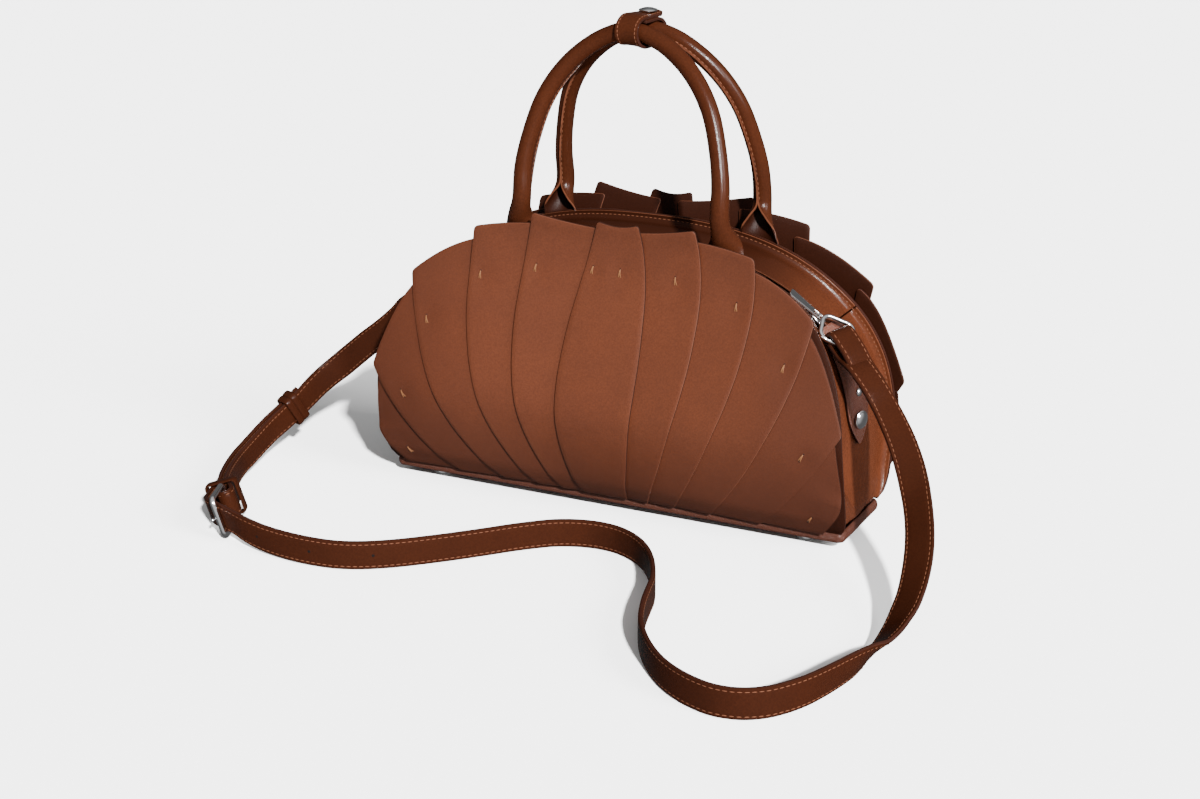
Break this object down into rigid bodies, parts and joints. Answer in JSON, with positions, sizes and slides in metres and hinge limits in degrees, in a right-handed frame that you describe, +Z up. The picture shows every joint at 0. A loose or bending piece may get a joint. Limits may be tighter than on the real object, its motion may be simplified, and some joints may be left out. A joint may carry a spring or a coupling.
{
  "type": "petal dome satchel",
  "caption": "Half-moon leather satchel under a fan of overlapping petals, with rolled handles, a zipped top, and a buckled shoulder strap lying on the floor.",
  "frame": {"origin": "on the floor under the middle of the base", "axes": "+X to the bag's right seen from its front, +Y to its back, +Z up"},
  "size_m": [0.5184, 0.347, 0.3372],
  "materials": {
    "petal_leather": "satin",
    "body_leather": "gloss",
    "strap_leather": "gloss",
    "grain_leather": "grained",
    "nickel": "polished"
  },
  "bodies": {
    "bag": {"back_panel": "body_leather", "back_petal_1": "petal_leather", "back_petal_10": "petal_leather", "back_petal_11": "petal_leather", "back_petal_2": "petal_leather", "back_petal_3": "petal_leather", "back_petal_4": "petal_leather", "back_petal_5": "petal_leather", "back_petal_6": "petal_leather", "back_petal_7": "petal_leather", "back_petal_8": "petal_leather", "back_petal_9": "petal_leather", "base_panel": "grain_leather", "base_welt": "grain_leather", "buckle_frame": "nickel", "buckle_tongue": "nickel", "end_rivet_left": "nickel", "end_rivet_right": "nickel", "end_snap_left": "nickel", "end_snap_right": "nickel", "end_tab_left": "grain_leather", "end_tab_right": "grain_leather", "foot_1": "nickel", "foot_2": "nickel", "foot_3": "nickel", "foot_4": "nickel", "front_panel": "body_leather", "front_petal_1": "petal_leather", "front_petal_10": "petal_leather", "front_petal_11": "petal_leather", "front_petal_2": "petal_leather", "front_petal_3": "petal_leather", "front_petal_4": "petal_leather", "front_petal_5": "petal_leather", "front_petal_6": "petal_leather", "front_petal_7": "petal_leather", "front_petal_8": "petal_leather", "front_petal_9": "petal_leather", "gusset_left": "body_leather", "gusset_right": "body_leather", "handle_back": "body_leather", "handle_front": "body_leather", "handle_keeper": "body_leather", "handle_keeper_snap": "nickel", "keeper_fixed": "strap_leather", "keeper_sliding": "strap_leather", "ring_left": "nickel", "ring_right": "nickel", "strap_long": "strap_leather", "strap_short": "strap_leather", "zip_chain": "nickel", "zip_slider": "nickel", "zip_strip_back": "body_leather", "zip_strip_front": "body_leather"},
    "zip_pull": {"zip_pull": "nickel"}
  },
  "joints": [
    {"name": "zip_pull_hinge", "type": "hinge", "parent": "bag", "child": "zip_pull", "pos_m": [0.13463, 0, 0.14673], "axis": [-0.1659, 0.9703, 0.1761], "range_deg": [0, 66]}
  ]
}
